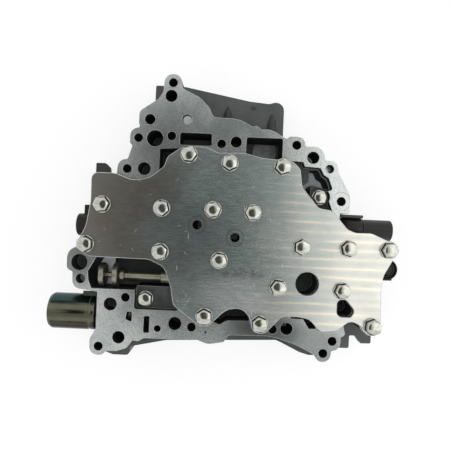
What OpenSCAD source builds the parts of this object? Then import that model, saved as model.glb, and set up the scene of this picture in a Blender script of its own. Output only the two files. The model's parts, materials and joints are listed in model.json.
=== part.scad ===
// Transmission valve body: two castings, a sheet between them, a cover plate, spool valves and solenoids.
// All sizes are millimetres. +Z points out of the machined face, and the lower casting rests at Z = 0.

/* [Casting stack] */
// Height of the lower casting
lower_height = 26; // [22:0.5:32]
// Thickness of the steel sheet between the castings
sheet_thickness = 1.5; // [1:0.1:2.5]
// Height of the upper casting
upper_height = 30; // [28:0.5:36]
// Height of the open flange along the back of the lower casting
flange_height = 19; // [12:0.5:22]
// Depth of the cast ledges below the machined face
ledge_depth = 8; // [5:0.5:9]
// Depth of the cast windows that stay closed at the bottom
pocket_depth = 22; // [10:0.5:24]

/* [Cover plate] */
// Thickness of the cover plate
plate_thickness = 5.5; // [4:0.25:8]
// Depth of the milled seat that the plate sits in
seat_depth = 0.5; // [0.3:0.1:0.8]
// Width of the gap round the plate in its seat
seat_margin = 0.6; // [0.3:0.1:1]
// Diameter of the large round opening in the plate
plate_opening = 17.7; // [14:0.1:20]
// Diameter of the two bolt holes through the plate
plate_hole = 7; // [6.4:0.1:8]

/* [Fasteners] */
// Thread diameter of every bolt
bolt_diameter = 6; // [5:0.1:6.2]
// Diameter of a bolt's flange
bolt_flange = 14; // [12:0.1:14.5]
// Thickness of a bolt's flange at its rim
bolt_flange_rim = 1.3; // [0.8:0.1:2]
// Distance across the flats of the hexagon
bolt_hex = 10; // [8:0.1:10.5]
// Height of a bolt head with its flange
bolt_head = 7; // [5:0.1:7.5]
// Radius of the domed top of a bolt head
bolt_dome = 10; // [8:0.5:16]
// Depth of the hollow in the top of a bolt's flange
bolt_hollow = 0.5; // [0.2:0.1:0.6]
// Length of cover bolt thread in the upper casting
cover_bolt_grip = 8.5; // [6:0.5:9]
// Length of body bolt thread in the lower casting
body_bolt_grip = 12; // [8:0.5:18]
// Diameter of the case bolt holes
case_hole = 6.8; // [6.4:0.1:7.2]
// Radial clearance round a bolt shank
bolt_clearance = 0.1; // [0.05:0.01:0.2]

/* [Manual valve] */
// Diameter of the two lever discs
lever_disc = 18.6; // [15:0.1:19]
// Thickness of a lever disc
lever_disc_thickness = 3.8; // [3:0.1:4.4]
// Width of the lever groove between the discs
lever_groove = 6.6; // [5:0.1:7]
// Diameter of the neck between the discs
lever_neck = 4.4; // [3.5:0.1:6]
// Diameter of the stem
manual_stem = 6.4; // [5:0.1:8]
// Diameter of the lands and of the collar
manual_land = 10; // [8:0.1:10.6]
// Travel of the valve into its bore
manual_travel_in = 12; // [8:0.5:12.5]
// Travel of the valve out of its bore
manual_travel_out = 3; // [1:0.5:3.5]

/* [Spool valves] */
// Diameter of a spool's lands
spool_diameter = 12; // [10:0.1:12.4]
// Diameter of a spool between its lands
spool_waist = 6.5; // [5:0.1:8]
// Length of the spring at rest
spring_length = 20; // [16:0.5:24]
// Travel of a spool against its spring
spool_travel = 5; // [3:0.5:6]
// Wire diameter of a spring
spring_wire = 1.3; // [1:0.1:1.5]
// Turns of wire in a spring
spring_turns = 6; // [5:1:7]
// Length of an end plug
plug_length = 9; // [7:0.5:11]
// Depth of an end plug below the mouth of its bore
plug_inset = 1; // [0.5:0.25:2]
// Thickness of the key that holds an end plug
key_thickness = 1.6; // [1.2:0.1:2]
// Width of that key
key_width = 10; // [8.6:0.1:11]
// Radial running clearance of every sliding piece
running_gap = 0.04; // [0.02:0.01:0.08]
// Radial depth of the oil grooves round a spool bore
groove_depth = 1; // [0.5:0.1:1.2]

/* [Solenoids] */
// Diameter of the line pressure solenoid's can
line_can = 28; // [24:0.5:28]
// Length of that can
line_can_length = 38; // [32:0.5:38]
// Diameter of that solenoid's nozzle
line_nozzle = 13.6; // [11:0.1:14]
// Length of the nozzle in its bore
line_nozzle_length = 36; // [28:0.5:37]
// Diameter of the left solenoid
left_can = 17.6; // [15:0.1:18]
// Length of the left solenoid outside the casting
left_can_length = 12; // [10:0.5:15]
// Diameter of the right solenoid
right_can = 16.8; // [15:0.1:17.4]
// Length of the right solenoid outside the casting
right_can_length = 42.4; // [36:0.1:43]
// Diameter of the nozzles of the left and right solenoids
side_nozzle = 12; // [10:0.1:12.4]
// Length of those nozzles in their bores
side_nozzle_length = 60; // [45:0.5:64]
// Diameter of the upright solenoid
upright_can = 16.4; // [14:0.1:16.4]
// Diameter of the upright solenoid's stem
upright_stem = 10; // [8:0.1:12]
// Thickness of the steel brackets
bracket_thickness = 2; // [1.5:0.1:2.4]
// Wire diameter of the sealing rings
o_ring_wire = 1.8; // [1.4:0.1:2]

/* [Accumulator] */
// Diameter of the accumulator piston
piston_diameter = 20; // [18:0.1:21]
// Height of the piston
piston_height = 10; // [8:0.5:12]
// Travel of the piston against its spring
piston_travel = 5; // [3:0.5:6]
// Floor of casting left under the accumulator bore
accumulator_floor = 3; // [2:0.5:4]

/* [Passages] */
// Width of the oil tracks in the resting face
track_width = 5; // [3:0.1:6]
// Thickness of the locating tab at the corner of the lower casting
tab_thickness = 6; // [4:0.5:10]
// Thickness of the two prongs at the front of the lower casting
prong_thickness = 9; // [6:0.5:12]
// Depth of the oil tracks in the resting face
track_depth = 5; // [2:0.5:6]
// Diameter of a check ball
check_ball = 5.5; // [4.5:0.1:6.5]
// Diameter of a dowel pin
dowel_diameter = 6; // [5:0.1:7]
// Length of a dowel pin
dowel_length = 12; // [10:0.5:14]

// Piece to build

/* [Hidden] */
$fn = 48;
slip = 0.02;
sheet_z = lower_height;
upper_z = sheet_z + sheet_thickness;
face_z = upper_z + upper_height;
seat_z = face_z - seat_depth;
plate_top = seat_z + plate_thickness;
ledge_z = face_z - ledge_depth;
centre_y = 2;

// Axes of the bores: Y and Z
manual_axis = [-42.6, face_z - 9.5];
opening_at = [63.6, -41.6];
line_axis = [-73.4, face_z - 17];
left_axis = [-4.4, face_z - 17.5];
left_can_x = -104.5;
right_can_x = 90;
right_axis = [0.8, face_z - 20];
bay_y = right_axis.x - right_can / 2 - 0.8;
spool_z = face_z - 17.5;
upright_at = [127.4, -29.2];
accumulator_at = [30, 61.5];
o_ring_seat = o_ring_wire * 0.8;

// Spool bores: Y, X of the mouth, X of the blind end
regulator_bore = [26.5, -99.8, -22];
shift_bore = [26.5, 57.5, -8];
lockup_bore = [-19.8, -110, -26];

// Manual valve, from the outer disc to the last land, as X at rest
disc_x = -95.3;
second_disc_x = disc_x + lever_disc_thickness + lever_groove;
collar_x = second_disc_x + lever_disc_thickness + 1.4;
window_end_x = -36;
manual_end_x = 18;
manual_bore_end = manual_end_x + manual_travel_in + 2;

// Corners are X, Y and fillet radius, clockwise
upper_outline = [
    [-50.5, 113.2, 6.3], [-37.5, 113.2, 6.3], [-37, 102.5, 4], [-23.5, 96.5, 8], [-15.5, 88.5, 6],
    [-12.5, 81.6, 4], [8.5, 81.2, 24], [17.5, 75.6, 2.5], [21.2, 76.6, 2], [24.8, 73.6, 2], [31, 74.8, 12],
    [40.5, 69.4, 3], [44.2, 67.6, 1.2], [46.5, 69.6, 2], [58.6, 69.6, 6.2], [58.8, 62.4, 1],
    [73.9, 63, 8.6],
    [73.9, 52.3, 1], [84.4, 52.5, 6.2], [84.4, 44, 4], [94, 27, 8], [94.4, 12.6, 2], [87, 12.6, 0.8],
    [87, bay_y, 2], [114, bay_y, 6], [129.4, -7.4, 6], [128.8, -17, 4], [117.6, -20.8, 2],
    [117.6, -76.8, 6],
    [107.4, -76.8, 4], [104, -68, 4], [92, -67.5, 2], [95.2, -80, 2], [91.7, -81.6, 1.5], [91.7, -91.5, 6],
    [84.8, -92.4, 1.5], [85, -101, 6], [75.4, -101, 4], [71.5, -95.5, 4], [58, -89, 6], [45, -84.8, 4],
    [36.5, -83.1, 3], [6.3, -83.6, 3], [3, -89.2, 3], [-9.5, -91.4, 8], [-18, -88.2, 4], [-58.4, -88.8, 3],
    [-62.5, -91.5, 2], [-66.6, -90.6, 2], [-71, -97, 4], [-78.5, -99.4, 4], [-86.5, -99.8, 2],
    [-89.5, -103, 3], [-99.2, -103, 6], [-99.4, -91, 4], [-95, -83, 3], [-95, -55, 0.6],
    [-114.4, -52.6, 6.4], [-114.6, -40.2, 1.5], [-119.2, -39, 4.2], [-119.2, -24, 8], [-110.4, -20.5, 3],
    [-109, -14.4, 2], [-101.5, -12, 2], [-99.8, 4, 3], [-99.8, 33.9, 3], [-84.2, 34, 1.2],
    [-83.4, 46.8, 6.6],
    [-76.3, 47.2, 1.2], [-73.2, 57.4, 1.2], [-75.2, 59.5, 2], [-75.2, 70, 6], [-67.8, 71.8, 1.2],
    [-68.9, 75, 2], [-68.9, 84, 5], [-54.2, 94.2, 4], [-51.2, 99.6, 3]];

plate_outline = [
    [-102, 35.6, 5], [-84, 35.6, 8], [-70, 30.6, 14], [-58, 33.4, 12], [-47.6, 42.2, 6], [-45.4, 49.6, 6],
    [-35.5, 56.8, 8], [-23, 58.2, 8], [-15.4, 57.6, 5], [-7, 54, 6], [12.6, 54.7, 8], [26, 51.5, 10],
    [48.8, 50.2, 6], [55, 44.4, 5], [56.8, 31, 8], [70, 15.6, 5], [80.5, 14.2, 6], [92, 0.8, 6],
    [98.2, -1.7, 6], [110.4, -1.5, 6], [122.5, -6.6, 3], [130.9, -6.6, 6.6], [130.9, -14.4, 4],
    [120.6, -33.5, 8], [119.4, -44, 8], [120.6, -78.6, 6.8], [110.2, -78.4, 4], [104.8, -71.2, 6],
    [97.2, -67.8, 6], [87.6, -75.8, 6], [75.2, -77.6, 6], [66.4, -68.2, 8], [58, -66.8, 10],
    [46, -66.9, 6], [33.4, -80.3, 5], [24.6, -80.2, 5.5], [21, -68.4, 4], [16.4, -62.6, 9],
    [4.8, -62.4, 13], [-9.8, -76.9, 5], [-16.2, -76.6, 4], [-36.6, -61.8, 5], [-39, -48, 8],
    [-44.5, -33.6, 8], [-56.4, -28.3, 8], [-102.6, -28, 7], [-111.4, -19.5, 5.5], [-104.6, -5, 12],
    [-101.7, 14, 12]];

lower_outline = [
    [-48, 102.4, 4], [-40, 102.4, 3], [-26, 94.6, 6], [-17, 86.4, 4], [-14, 79.6, 3], [8, 79.2, 4],
    [17.4, 74, 2],
    [24.8, 72.4, 3], [31, 73.8, 4], [42, 67.4, 2], [46, 68.4, 2], [57.6, 68.6, 5], [58.2, 61.4, 1],
    [72.8, 61.8, 7.4],
    [73, 51.2, 1], [83.2, 51.4, 5], [83.2, 44, 3], [93, 26.6, 7], [93.4, 10, 3], [112, 8, 4],
    [126, -7, 5], [126, -19, 3], [116, -23, 3], [116, -70, 3], [124.8, -80, 4], [124.8, -93, 1.5],
    [116.4, -93.2, 1.5], [112, -87, 2], [106.8, -87, 1], [106.8, -97.6, 1.5], [98.4, -97.6, 1.5],
    [94, -92, 2],
    [84, -104, 4], [74, -104.8, 3], [66, -102.6, 4], [50, -95, 4], [46, -93.4, 2], [5.8, -95.2, 3],
    [-44, -97.3, 4], [-74.6, -104, 1.5], [-74.6, -111.2, 3], [-88, -111.2, 4], [-97.8, -108, 5],
    [-98, -92, 4],
    [-93.6, -84, 3], [-93.6, -55, 3], [-111, -52, 5], [-116, -38, 5], [-115, -26, 5], [-106, -14, 4],
    [-98, 2, 4], [-98, 26, 1], [-103, 31, 1], [-103, 37, 0.4], [-108.8, 37, 1], [-108.8, 47, 1],
    [-101.2, 47, 0.6], [-97.6, 43.6, 0.6],
    [-96.4, 36, 0.6], [-83, 35, 2], [-82.2, 45.6, 5.4], [-75.2, 46.4, 1], [-72, 57.4, 1], [-74, 59.8, 1.5],
    [-74, 69, 5], [-66.8, 71, 1], [-67.6, 82, 4], [-54, 92.6, 4]];

flange_outline = [
    [-63.2, 115.2, 1.5], [-38, 114.9, 2], [16.5, 105, 6], [33, 103.6, 4], [37.5, 105, 3], [45.6, 105, 6.6],
    [45.6, 55, 1], [-63.2, 66, 1]];

manual_window = [
    [-96, -27, 2], [-103, -39.5, 1.5], [-102.4, -46, 1.5], [-99.8, -52.4, 1], [-66.6, -52.4, 1],
    [-66.6, -50, 0.5], [window_end_x, -50, 1], [window_end_x, -27, 2]];
left_ledge = [[-66.6, -49.4, 0.5], [-66.6, -67, 2], [-33, -67, 2], [-33, -49.4, 0.5]];
right_ledge = [
    [48, 50.8, 0.8], [57.6, 50.4, 0.8], [58.8, 47, 1], [71, 46.4, 1.5], [73.6, 41.2, 1.5], [77.4, 39, 1.5],
    [80.8, 30.4, 1.5], [75.6, 28.4, 1], [80.8, 14.6, 1], [83, 12.2, 0.5], [83, 6, 1], [90, -2, 1],
    [89, -4, 0.5],
    [79, 11, 2], [69, 14.2, 3], [55.2, 30, 4], [53.6, 43.6, 3], [48, 47, 0.8]];
right_window = [[63.6, 45.8, 1], [70.4, 45.8, 1.5], [73, 40.6, 1.5], [76.8, 38.4, 1.5], [80, 31.4, 1],
    [78, 31, 0.8], [65.2, 34, 1], [65.2, 19.4, 1.5], [57.5, 19.4, 1.5], [57.5, 34, 1.5], [63.6, 36, 0.8]];
back_pocket = [[-52, 56, 1], [-37, 57, 1], [-38, 50, 1], [-48, 38, 2], [-52, 39, 1]];
front_pocket = [[4.6, -72.6, 0.8], [-1.4, -76, 1.5], [-6, -74, 1.5], [-6, -56, 2], [21.6, -56, 2],
    [21.6, -72.2, 0.8]];
edge_pocket = [[53, -62, 1], [53, -68.9, 0.6], [62.6, -69, 0.8], [67.2, -76.2, 0.6], [72.6, -76, 0.6],
    [66, -62, 1]];
port_one = [[-37.2, 69, 1.5], [-12.8, 69, 1.5], [-12.8, 59.6, 1.5], [-37.2, 59.6, 1.5]];
port_two = [[13.6, 67.6, 1.5], [41.4, 67.6, 1.5], [41.4, 50, 1.5], [13.6, 54, 1.5]];
port_three = [[-72, -69.2, 0.8], [-68, -69.2, 0.8], [-68, -77.2, 0.8], [-72.8, -74.8, 0.8]];
port_four = [[-58.8, -72, 0.8], [-54.5, -72, 0.8], [-54.5, -84.6, 0.8], [-58.8, -84.6, 0.8]];
pear_opening = [[86.8, -52.4, 3.6], [93.4, -52.4, 3], [100.4, -60.6, 3.6], [97.4, -65.4, 3],
    [86.8, -65.4, 4]];

// Case bolt holes through both castings: X and Y
case_holes = [[-44, 106.7], [-68.7, 63.7], [-43.5, 66.1], [-5.3, 61.7], [52, 63.1], [87.8, 21.7],
    [-76.4, 39.7],
    [-73.5, -58.4], [-92.6, -96.4], [-22.2, -78.9], [39.6, -77.9], [85.4, -85], [78.8, -94.6]];
plate_bolt_holes = [[-21, -0.8], [7.9, -9.2]];

// Round ports in the machined face: X, Y, radius, depth
ports = [
    [-45, 96.6, 4.6, upper_height], [-60.5, 78.1, 4, upper_height], [-32.4, 79.3, 4, 2],
    [-56.1, 63.7, 6.3, upper_height], [5.8, 63.5, 4.3, upper_height], [65, 54.1, 4.6, upper_height],
    [77.9, 46, 3.2, 10], [-63.4, 40.3, 4.9, 20], [-109.7, -33, 6.2, 16],
    [-108.3, -45.5, 3.6, 12],
    [-84.8, -63.9, 4.9, 13], [-77.5, -89, 4.7, upper_height], [-48.2, -81.1, 2.6, upper_height],
    [-35.1, -76.9, 5, upper_height], [50.2, -77, 4.7, upper_height], [-11.3, -82.4, 1, 1.5],
    [-1.2, -83.8, 0.6, 1]];

cover_bolt_places = [[-92.8, 11.7], [-48, 10.6], [-9.5, 11], [20.5, 10], [-104, -18.5], [-47.8, -22],
    [-3.3, -26.7],
    [58.2, -14.2], [93.4, -13.8], [123.6, -13.7], [-29.2, 51.6], [1.7, 46.6], [41.4, 45.3], [41.8, -45.1],
    [89.7, -45.6], [-12.7, -69.2], [29, -73], [113.5, -71.5]];
body_bolt_places = [[-59.3, -59.8], [72.4, 24.4]];
dowel_places = [[-68, -84.6], [104, -30]];
ball_places = [[-30, 40], [70, 5], [20, -30], [60, -75]];

// Runs of the oil tracks in the resting face: X and Y
tracks = [
    [[-90, 22], [-60, 22], [-52, 34], [-20, 34]], [[-88, 4], [-50, 4], [-40, 16], [-8, 18], [4, 34]],
    [[-100, -36], [-70, -36], [-60, -24], [-30, -22]], [[-84, -84], [-60, -74], [-30, -60], [-2, -60]],
    [[12, 30], [40, 24], [60, 36]], [[20, 8], [46, 6], [70, -8], [104, -8]],
    [[24, -18], [52, -22], [60, -44], [92, -52]], [[16, -44], [36, -58], [70, -64], [104, -62]],
    [[-52, 80], [-30, 74], [-24, 52], [4, 46]]];

// Corners with fillets
function unit(v) = v / norm(v);
function flat(p) = [p.x, p.y];
function bend(a, b, c) =
    let (
        u = unit(flat(a) - flat(b)),
        v = unit(flat(c) - flat(b)),
        half = acos(max(-1, min(1, u * v))) / 2,
        hub = flat(b) + unit(u + v) * b.z / sin(half),
        first = flat(b) + u * b.z / tan(half) - hub,
        side = sign(u.y * v.x - u.x * v.y),
        turn = 180 - 2 * half,
        steps = max(1, ceil(turn / 24)))
    [for (k = [0 : steps])
        let (t = atan2(first.y, first.x) + side * turn * k / steps)
        hub + b.z * [cos(t), sin(t)]];
function rounded(c) =
    [for (i = [0 : len(c) - 1]) each bend(c[(i + len(c) - 1) % len(c)], c[i], c[(i + 1) % len(c)])];

module centred() translate([0, -centre_y, 0]) children();
module outline(corners) polygon(rounded(corners));
module at_each(places) for (p = places) translate([p.x, p.y, 0]) children();
module along_x(x, axis) translate([x, axis.x, axis.y]) rotate([0, 90, 0]) children();
module prism(low, high) translate([0, 0, low]) linear_extrude(high - low) children();

// An oil track of straight bars with round corners and ends
module track(run) {
    for (p = run) translate(p) circle(d = track_width * 1.2);
    for (i = [0 : len(run) - 2]) let (step = run[i + 1] - run[i])
        translate(run[i]) rotate(atan2(step.y, step.x)) translate([0, -track_width / 2])
            square([norm(step), track_width]);
}

// A bolt with its flange underside at Z = 0
module bolt(reach) {
    translate([0, 0, -reach]) cylinder(d = bolt_diameter, h = reach + 0.4);
    difference() {
        cylinder(d = bolt_flange, h = bolt_flange_rim);
        translate([0, 0, bolt_flange_rim - bolt_hollow])
            cylinder(d1 = bolt_hex, d2 = bolt_flange - 1.6, h = bolt_hollow + 0.01);
    }
    intersection() {
        cylinder(d = bolt_hex * 2 / sqrt(3), h = bolt_head, $fn = 6);
        translate([0, 0, bolt_head - bolt_dome]) sphere(r = bolt_dome);
    }
}

// A coil spring that stands on Z = 0
module coil(length, outer, wire, turns) {
    sides = 5;
    steps = turns * 10;
    r = (outer - wire) / 2;
    rise = length - wire;
    points = [for (i = [0 : steps]) let (a = i * 36) for (k = [0 : sides - 1])
        let (q = r + cos(k * 72) * wire / 2)
        [q * cos(a), q * sin(a), wire / 2 + rise * i / steps + sin(k * 72) * wire / 2]];
    walls = [for (i = [0 : steps - 1]) for (k = [0 : sides - 1])
        let (n = (k + 1) % sides)
        each [[i * sides + k, (i + 1) * sides + k, (i + 1) * sides + n],
            [i * sides + k, (i + 1) * sides + n, i * sides + n]]];
    foot = [for (k = [0 : sides - 1]) k];
    head = [for (k = [sides - 1 : -1 : 0]) steps * sides + k];
    polyhedron(points, concat(walls, [foot, head]));
}

// Way from the mouth of a spool bore to its blind end
function inward(b) = sign(b[2] - b[1]);
function depth(b) = abs(b[2] - b[1]);
function spool_length(b) = depth(b) - plug_inset - plug_length - spring_length - 0.1;
module in_bore(b) translate([b[1], b[0], spool_z]) rotate([0, inward(b) * 90, 0]) children();

// Middle of the key that holds the plug of a spool bore
function key_x(b) = b[1] + inward(b) * (plug_inset + plug_length / 2);
key_top = spool_z + 2;

// A spool bore with its oil grooves and the slot for its key
module spool_bore(b) {
    in_bore(b) translate([0, 0, -8]) cylinder(d = spool_diameter + 2 * running_gap, h = depth(b) + 8);
    for (f = [0.28, 0.72])
        in_bore(b) translate([0, 0, depth(b) - spool_length(b) * f - 2.5])
            cylinder(d = spool_diameter + 2 * groove_depth, h = 5);
    translate([key_x(b) - key_thickness / 2 - slip, b[0] - key_width / 2 - slip, upper_z - 1])
        cube([key_thickness + 2 * slip, key_width + 2 * slip, key_top - upper_z + 1 + slip]);
}

// A spool with three lands, its spring end at the mouth side
module spool(b) {
    length = spool_length(b);
    in_bore(b) translate([0, 0, depth(b) - 0.1 - length]) {
        cylinder(d = spool_waist, h = length);
        for (f = [0, 0.42, 0.8]) translate([0, 0, length * f])
            cylinder(d = spool_diameter, h = length * 0.2);
    }
}

module spool_spring(b) in_bore(b) translate([0, 0, plug_inset + plug_length])
    coil(spring_length, spool_diameter - 2, spring_wire, spring_turns);

// An end plug with a groove for its key and a hole to draw it out by
module spool_plug(b) in_bore(b) translate([0, 0, plug_inset]) difference() {
    cylinder(d = spool_diameter, h = plug_length);
    translate([0, 0, plug_length / 2 - key_thickness / 2 - slip]) difference() {
        cylinder(d = spool_diameter + 1, h = key_thickness + 2 * slip);
        translate([0, 0, -1]) cylinder(d = spool_waist, h = key_thickness + 3);
    }
    translate([0, 0, -1]) cylinder(d = spool_waist * 0.5, h = plug_length * 0.7);
}

module plug_key(b) translate([key_x(b) - key_thickness / 2, b[0], upper_z]) difference() {
    translate([0, -key_width / 2, 0]) cube([key_thickness, key_width, key_top - upper_z]);
    translate([-1, 0, spool_z - upper_z]) rotate([0, 90, 0])
        cylinder(d = spool_waist + 2 * slip, h = key_thickness + 2);
    translate([-1, -spool_waist / 2 - slip, spool_z - upper_z])
        cube([key_thickness + 2, spool_waist + 2 * slip, key_top]);
}

// Holes that pass through the whole stack
module stack_holes(low, high) {
    at_each(case_holes) translate([0, 0, low]) cylinder(d = case_hole, h = high - low);
    at_each(plate_bolt_holes) translate([0, 0, low]) cylinder(d = plate_hole, h = high - low);
}

module lower_body() color([0.25, 0.26, 0.27]) centred() difference() {
    union() {
        prism(0, lower_height) outline(lower_outline);
        prism(0, flange_height) outline(flange_outline);
        translate([upright_at.x, upright_at.y, 0]) cylinder(d = upright_can, h = lower_height);
        translate([112, upright_at.y - upright_can * 0.4, 0])
            cube([upright_at.x - 112, upright_can * 0.8, lower_height]);
        for (g = [[-1.6, 99.6], [35.6, 94.5]])
            translate([g.x, g.y, flange_height]) rotate([90, 0, 0]) {
                cylinder(d1 = 1.8, d2 = 6.4, h = 6);
                translate([0, 0, 6]) cylinder(d1 = 6.4, d2 = 11.6, h = 21);
            }
        translate([19.9, 99.7, 0]) cylinder(r = 1.7, h = flange_height + 0.8);
    }
    stack_holes(-1, lower_height + 1);
    at_each(body_bolt_places) translate([0, 0, lower_height - body_bolt_grip - 1])
        cylinder(d = bolt_diameter + 2 * bolt_clearance, h = body_bolt_grip + 2);
    at_each(dowel_places) translate([0, 0, lower_height - dowel_length / 2])
        cylinder(d = dowel_diameter + 2 * slip, h = dowel_length);
    at_each(ball_places) translate([0, 0, lower_height - check_ball - 0.2])
        cylinder(d = check_ball + 1, h = check_ball + 1);
    translate([accumulator_at.x, accumulator_at.y, accumulator_floor])
        cylinder(d = piston_diameter + 2 * running_gap, h = lower_height);
    translate([upright_at.x, upright_at.y, track_depth + 1])
        cylinder(d = upright_stem + 2 * slip, h = lower_height);
    prism(lower_height - 12, lower_height + 1) offset(delta = -2) outline(manual_window);
    prism(-1, track_depth) for (run = tracks) track(run);
    translate([-110, 36.4, -1]) cube([14, 12, lower_height - tab_thickness + 1]);
    translate([95.6, -100, -1]) cube([31, 13.2, lower_height - prong_thickness + 1]);
}

module separator_plate() color([0.55, 0.58, 0.6]) centred() difference() {
    prism(sheet_z, upper_z) difference() {
        intersection() {
            outline(lower_outline);
            offset(delta = -1) outline(upper_outline);
        }
        outline(port_one);
        outline(port_two);
        translate([-89, -47]) square([50, 17]);
        for (p = ports) if (p[3] == upper_height && p[2] > 4) translate([p.x, p.y]) circle(r = p[2] * 0.7);
    }
    stack_holes(sheet_z - 1, upper_z + 1);
    at_each(body_bolt_places) translate([0, 0, sheet_z - 1])
        cylinder(d = bolt_diameter + 2 * bolt_clearance, h = sheet_thickness + 2);
    at_each(dowel_places) translate([0, 0, sheet_z - 1])
        cylinder(d = dowel_diameter + 2 * slip, h = sheet_thickness + 2);
}

module upper_body() color([0.8, 0.81, 0.82]) centred() difference() {
    prism(upper_z, face_z) difference() {
        outline(upper_outline);
        outline(manual_window);
        outline(right_window);
        outline(port_one);
        outline(port_two);
    }
    prism(seat_z, face_z + 1) offset(delta = seat_margin) outline(plate_outline);
    prism(ledge_z, face_z + 1) outline(left_ledge);
    prism(ledge_z, face_z + 1) outline(right_ledge);
    prism(face_z - pocket_depth, face_z + 1) outline(back_pocket);
    prism(face_z - pocket_depth, face_z + 1) outline(front_pocket);
    prism(face_z - pocket_depth, face_z + 1) outline(edge_pocket);
    prism(face_z - pocket_depth, face_z + 1) outline(pear_opening);
    translate([opening_at.x, opening_at.y, face_z - pocket_depth])
        cylinder(d = plate_opening, h = pocket_depth + 1);
    prism(line_axis.y, face_z + 1) outline(port_three);
    prism(face_z - pocket_depth, face_z + 1) outline(port_four);
    stack_holes(upper_z - 1, face_z + 1);
    for (p = ports) translate([p.x, p.y, face_z - p[3] - (p[3] == upper_height ? 1 : 0)])
        cylinder(r = p[2], h = p[3] + 2);
    translate([-35.1, -76.9, face_z - 1]) cylinder(r = 5.9, h = 2);
    translate([case_holes[5].x, case_holes[5].y, face_z - 0.4]) cylinder(d = bolt_flange, h = 1);
    at_each(cover_bolt_places) translate([0, 0, seat_z - cover_bolt_grip - 0.5])
        cylinder(d = bolt_diameter + 2 * bolt_clearance, h = cover_bolt_grip + 2);
    at_each(body_bolt_places) translate([0, 0, upper_z - 1])
        cylinder(d = bolt_diameter + 2 * bolt_clearance, h = upper_height);
    translate([body_bolt_places[1].x, body_bolt_places[1].y, ledge_z])
        cylinder(d = bolt_flange * 0.95, h = ledge_depth + 1);
    at_each(dowel_places) translate([0, 0, upper_z - 1])
        cylinder(d = dowel_diameter + 2 * slip, h = dowel_length / 2 + 1);
    spool_bore(regulator_bore);
    spool_bore(shift_bore);
    spool_bore(lockup_bore);
    along_x(window_end_x - 1, manual_axis)
        cylinder(d = manual_land + 2 * running_gap, h = manual_bore_end - window_end_x + 1);
    along_x(-100, line_axis) cylinder(d = line_nozzle + 2 * slip, h = line_nozzle_length + 6.5);
    along_x(left_can_x - 1.5, left_axis) cylinder(d = side_nozzle + 2 * slip, h = side_nozzle_length + 2);
    along_x(right_can_x - side_nozzle_length - 0.5, right_axis)
        cylinder(d = side_nozzle + 2 * slip, h = side_nozzle_length);
}

module cover_plate() color([0.62, 0.65, 0.68]) centred() difference() {
    prism(seat_z, plate_top) outline(plate_outline);
    at_each(cover_bolt_places) translate([0, 0, seat_z - 1])
        cylinder(d = bolt_diameter + 2 * bolt_clearance, h = plate_thickness + 2);
    at_each(plate_bolt_holes) translate([0, 0, seat_z - 1])
        cylinder(d = plate_hole, h = plate_thickness + 2);
    translate([opening_at.x, opening_at.y, seat_z - 1]) cylinder(d = plate_opening, h = plate_thickness + 2);
    prism(seat_z - 1, plate_top + 1) outline(pear_opening);
}

module cover_bolts() color([0.78, 0.78, 0.76]) centred() for (i = [0 : len(cover_bolt_places) - 1])
    translate([cover_bolt_places[i].x, cover_bolt_places[i].y, plate_top]) rotate([0, 0, i * 37])
        bolt(plate_thickness + cover_bolt_grip);

module body_bolts() color([0.78, 0.78, 0.76]) centred() for (i = [0 : len(body_bolt_places) - 1])
    translate([body_bolt_places[i].x, body_bolt_places[i].y, ledge_z]) rotate([0, 0, i * 25 + 10])
        scale(0.92) bolt((ledge_z - sheet_z + body_bolt_grip) / 0.92);

module dowel_pins() color([0.7, 0.7, 0.7]) centred() at_each(dowel_places)
    translate([0, 0, lower_height - dowel_length / 2 + slip])
        cylinder(d = dowel_diameter, h = dowel_length - 2 * slip);

module check_balls() color([0.75, 0.75, 0.75]) centred() at_each(ball_places)
    translate([0, 0, lower_height - check_ball / 2 - 0.2]) sphere(d = check_ball);

module manual_valve() color([0.55, 0.53, 0.45]) centred() along_x(0, manual_axis) {
    for (x = [disc_x, second_disc_x]) translate([0, 0, x])
        cylinder(d = lever_disc, h = lever_disc_thickness);
    translate([0, 0, disc_x]) cylinder(d = lever_neck, h = collar_x - disc_x + 1);
    translate([0, 0, collar_x]) cylinder(d = manual_land, h = 3.2);
    translate([0, 0, collar_x + 1]) cylinder(d = manual_stem, h = manual_end_x - collar_x - 1);
    for (x = [window_end_x - manual_travel_in, -14, manual_end_x - 10])
        translate([0, 0, x]) cylinder(d = manual_land, h = 10);
}

module regulator_valve() color([0.7, 0.7, 0.68]) centred() spool(regulator_bore);
module regulator_spring() color([0.6, 0.6, 0.6]) centred() spool_spring(regulator_bore);
module regulator_plug() color([0.7, 0.71, 0.72]) centred() spool_plug(regulator_bore);
module shift_valve() color([0.7, 0.7, 0.68]) centred() spool(shift_bore);
module shift_spring() color([0.6, 0.6, 0.6]) centred() spool_spring(shift_bore);
module shift_plug() color([0.7, 0.71, 0.72]) centred() spool_plug(shift_bore);
module lockup_valve() color([0.7, 0.7, 0.68]) centred() spool(lockup_bore);
module lockup_spring() color([0.6, 0.6, 0.6]) centred() spool_spring(lockup_bore);
module lockup_plug() color([0.7, 0.71, 0.72]) centred() spool_plug(lockup_bore);

module plug_keys() color([0.5, 0.5, 0.5]) centred() {
    plug_key(regulator_bore);
    plug_key(shift_bore);
    plug_key(lockup_bore);
}

piston_top = lower_height - 0.05;
piston_foot = piston_top - piston_height;
ring_z = piston_top - piston_height * 0.45;

module at_accumulator(z) centred() translate([accumulator_at.x, accumulator_at.y, z]) children();

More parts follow.
